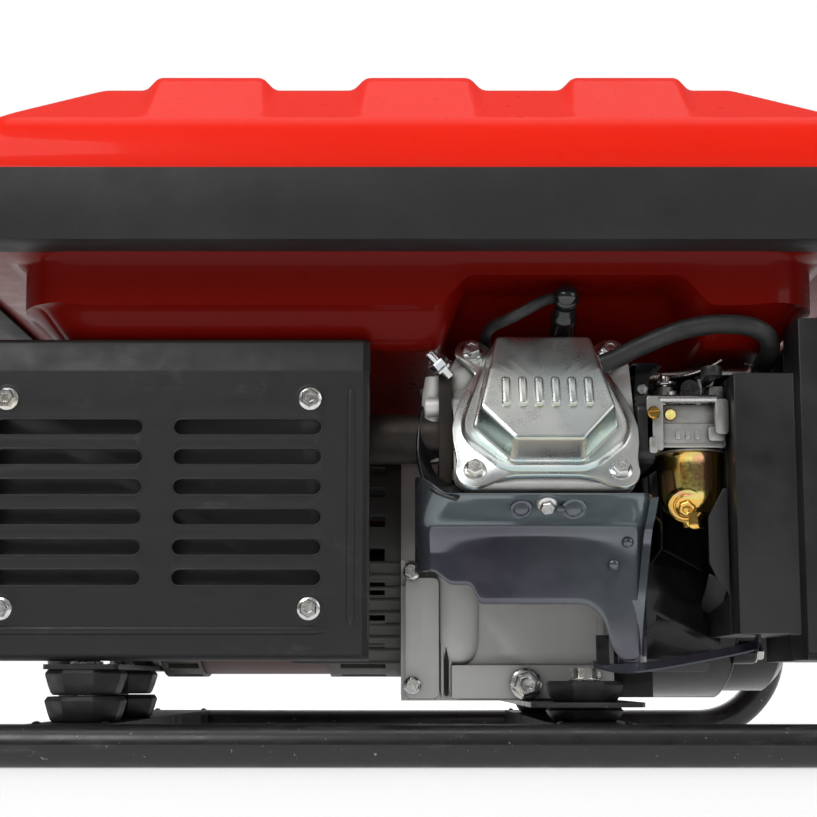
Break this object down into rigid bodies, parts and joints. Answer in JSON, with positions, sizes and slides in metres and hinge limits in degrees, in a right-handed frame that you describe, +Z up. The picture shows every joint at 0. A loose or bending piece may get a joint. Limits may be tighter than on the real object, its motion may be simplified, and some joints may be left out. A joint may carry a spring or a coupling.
{
  "type": "portable generator",
  "caption": "Open-frame petrol generator: tube frame, stamped tank, inclined single-cylinder engine, slotted muffler guard, alternator and control panel.",
  "frame": {"origin": "middle of the footprint, on the surface that the lower rails rest on", "axes": "+X along the crank axis towards the starter, +Y across towards the control panel, +Z up"},
  "size_m": [0.645, 0.43, 0.466],
  "materials": {
    "frame_paint": "satin black paint, worn",
    "band_paint": "matt textured black coat",
    "tank_red": "gloss red enamel",
    "rubber": "matt black rubber",
    "fuel_rubber": "fuel resistant rubber",
    "zinc": "bright zinc plate",
    "passivated_steel": "iridescent zinc plate",
    "gold_passivate": "yellow iridescent plate",
    "cast_aluminium": "sand cast",
    "die_cast": "die cast",
    "machined_steel": "machined",
    "flywheel_iron": "turned cast iron",
    "gloss_black": "gloss black enamel",
    "cowl_blue_black": "dark glossy enamel",
    "black_plastic": "moulded black",
    "red_plastic": "moulded red",
    "pale_plastic": "moulded pale",
    "filter_foam": "pleated paper",
    "ceramic_and_steel": "glazed ceramic",
    "exhaust_black": "heat resistant matt black",
    "hot_steel": "heat tinted",
    "lacquered_iron": "red-brown insulating lacquer",
    "winding": "varnished wire",
    "panel_paint": "textured black coat"
  },
  "bodies": {
    "frame": {"rear_frame_loop": "frame_paint", "front_frame_loop": "frame_paint", "cross_members": "frame_paint", "top_band": "band_paint", "rubber_mounts": "rubber", "mount_bolts": "zinc", "mount_brackets": "frame_paint", "flange_bolts": "zinc", "tank_upper_shell": "tank_red", "tank_lower_shell": "tank_red", "fuel_strainer": "pale_plastic", "fuel_gauge": "black_plastic", "fuel_tap": "zinc", "fuel_line": "fuel_rubber", "crankcase": "cast_aluminium", "crankcase_cover": "cast_aluminium", "cylinder_barrel": "cast_aluminium", "cylinder_head": "cast_aluminium", "valve_cover": "passivated_steel", "spark_plug": "ceramic_and_steel", "plug_cap": "rubber", "plug_lead": "rubber", "fan_housing": "gloss_black", "recoil_cover": "gloss_black", "cylinder_cowl": "cowl_blue_black", "drain_plug": "zinc", "intake_insulator": "black_plastic", "carburettor": "die_cast", "carburettor_bowl": "gold_passivate", "air_box_base": "black_plastic", "filter_element": "filter_foam", "breather_hose": "rubber", "muffler": "exhaust_black", "exhaust_pipe": "hot_steel", "muffler_guard": "exhaust_black", "stator_core": "lacquered_iron", "stator_windings": "winding", "alternator_bells": "cast_aluminium", "control_panel": "panel_paint", "panel_fittings": "black_plastic", "ground_terminal": "zinc"},
    "crank_train": {"crankshaft": "machined_steel", "flywheel": "flywheel_iron", "alternator_rotor": "lacquered_iron"},
    "piston_group": {"piston": "die_cast", "connecting_rod": "machined_steel"},
    "recoil_pulley": {"recoil_pulley": "black_plastic"},
    "recoil_handle": {"recoil_handle": "black_plastic"},
    "fuel_cap": {"fuel_cap": "black_plastic"},
    "gauge_needle": {"gauge_needle": "red_plastic"},
    "fuel_tap_lever": {"fuel_tap_lever": "red_plastic"},
    "choke_lever": {"choke_lever": "black_plastic"},
    "throttle_lever": {"throttle_lever": "zinc"},
    "dipstick": {"dipstick": "black_plastic"},
    "air_box_cover": {"air_box_cover": "black_plastic"},
    "socket_lid_left": {"socket_lid_left": "black_plastic"},
    "socket_lid_right": {"socket_lid_right": "black_plastic"},
    "voltmeter_needle": {"voltmeter_needle": "red_plastic"},
    "engine_switch": {"engine_switch": "red_plastic"},
    "breaker_button": {"breaker_button": "pale_plastic"}
  },
  "joints": [
    {"name": "crank_spin", "type": "hinge", "parent": "frame", "child": "crank_train", "pos_m": [0.078, -0.001, 0.135], "axis": [1, 0, 0], "continuous": true},
    {"name": "piston_stroke", "type": "slide", "parent": "frame", "child": "piston_group", "axis": [0, 0.9063, -0.4226], "range_m": [0, 0.054]},
    {"name": "starter_pull", "type": "slide", "parent": "frame", "child": "recoil_handle", "axis": [0, 1, 0], "range_m": [0, 0.06], "stiffness_N_per_m": 40},
    {"name": "starter_pulley_spin", "type": "hinge", "parent": "frame", "child": "recoil_pulley", "pos_m": [0.2285, -0.001, 0.135], "axis": [1, 0, 0], "range_deg": [-90, 0]},
    {"name": "fuel_cap_turn", "type": "hinge", "parent": "frame", "child": "fuel_cap", "pos_m": [0, 0.05, 0.454], "axis": [0, 0, 1], "range_deg": [0, 90]},
    {"name": "fuel_gauge_swing", "type": "hinge", "parent": "frame", "child": "gauge_needle", "pos_m": [0.129, 0.06, 0.447], "axis": [0, 0, 1], "range_deg": [0, 110]},
    {"name": "fuel_tap_turn", "type": "hinge", "parent": "frame", "child": "fuel_tap_lever", "pos_m": [-0.12, 0.077, 0.237], "axis": [0, 1, 0], "range_deg": [0, 90]},
    {"name": "choke_turn", "type": "hinge", "parent": "frame", "child": "choke_lever", "pos_m": [0.18, -0.146, 0.237], "axis": [0, 0, 1], "range_deg": [-55, 0]},
    {"name": "throttle_turn", "type": "hinge", "parent": "frame", "child": "throttle_lever", "pos_m": [0.158, -0.146, 0.238], "axis": [0, 0, 1], "range_deg": [0, 45], "stiffness_Nm_per_rad": 0.02},
    {"name": "dipstick_turn", "type": "hinge", "parent": "frame", "child": "dipstick", "pos_m": [0.045, 0.09, 0.064], "axis": [0, 1, 0], "continuous": true},
    {"name": "air_box_cover_tilt", "type": "hinge", "parent": "frame", "child": "air_box_cover", "pos_m": [0.25, -0.1654, 0.062], "axis": [1, 0, 0], "range_deg": [0, 18]},
    {"name": "socket_lid_left_open", "type": "hinge", "parent": "frame", "child": "socket_lid_left", "pos_m": [-0.225, 0.198, 0.181], "axis": [1, 0, 0], "range_deg": [0, 100], "stiffness_Nm_per_rad": 0.01, "springref_deg": -22.92},
    {"name": "socket_lid_right_open", "type": "hinge", "parent": "frame", "child": "socket_lid_right", "pos_m": [-0.15, 0.198, 0.181], "axis": [1, 0, 0], "range_deg": [0, 100], "stiffness_Nm_per_rad": 0.01, "springref_deg": -22.92},
    {"name": "voltmeter_swing", "type": "hinge", "parent": "frame", "child": "voltmeter_needle", "pos_m": [-0.188, 0.193, 0.214], "axis": [0, 1, 0], "range_deg": [-90, 0], "stiffness_Nm_per_rad": 0.0005},
    {"name": "engine_switch_rock", "type": "hinge", "parent": "frame", "child": "engine_switch", "pos_m": [-0.053, 0.191, 0.228], "axis": [1, 0, 0], "range_deg": [-16, 0]},
    {"name": "breaker_press", "type": "slide", "parent": "frame", "child": "breaker_button", "axis": [0, -1, 0], "range_m": [0, 0.003], "stiffness_N_per_m": 300}
  ],
  "couplings": [
    {"joint": "starter_pulley_spin", "follows": "starter_pull", "rad_per_m": -25}
  ]
}
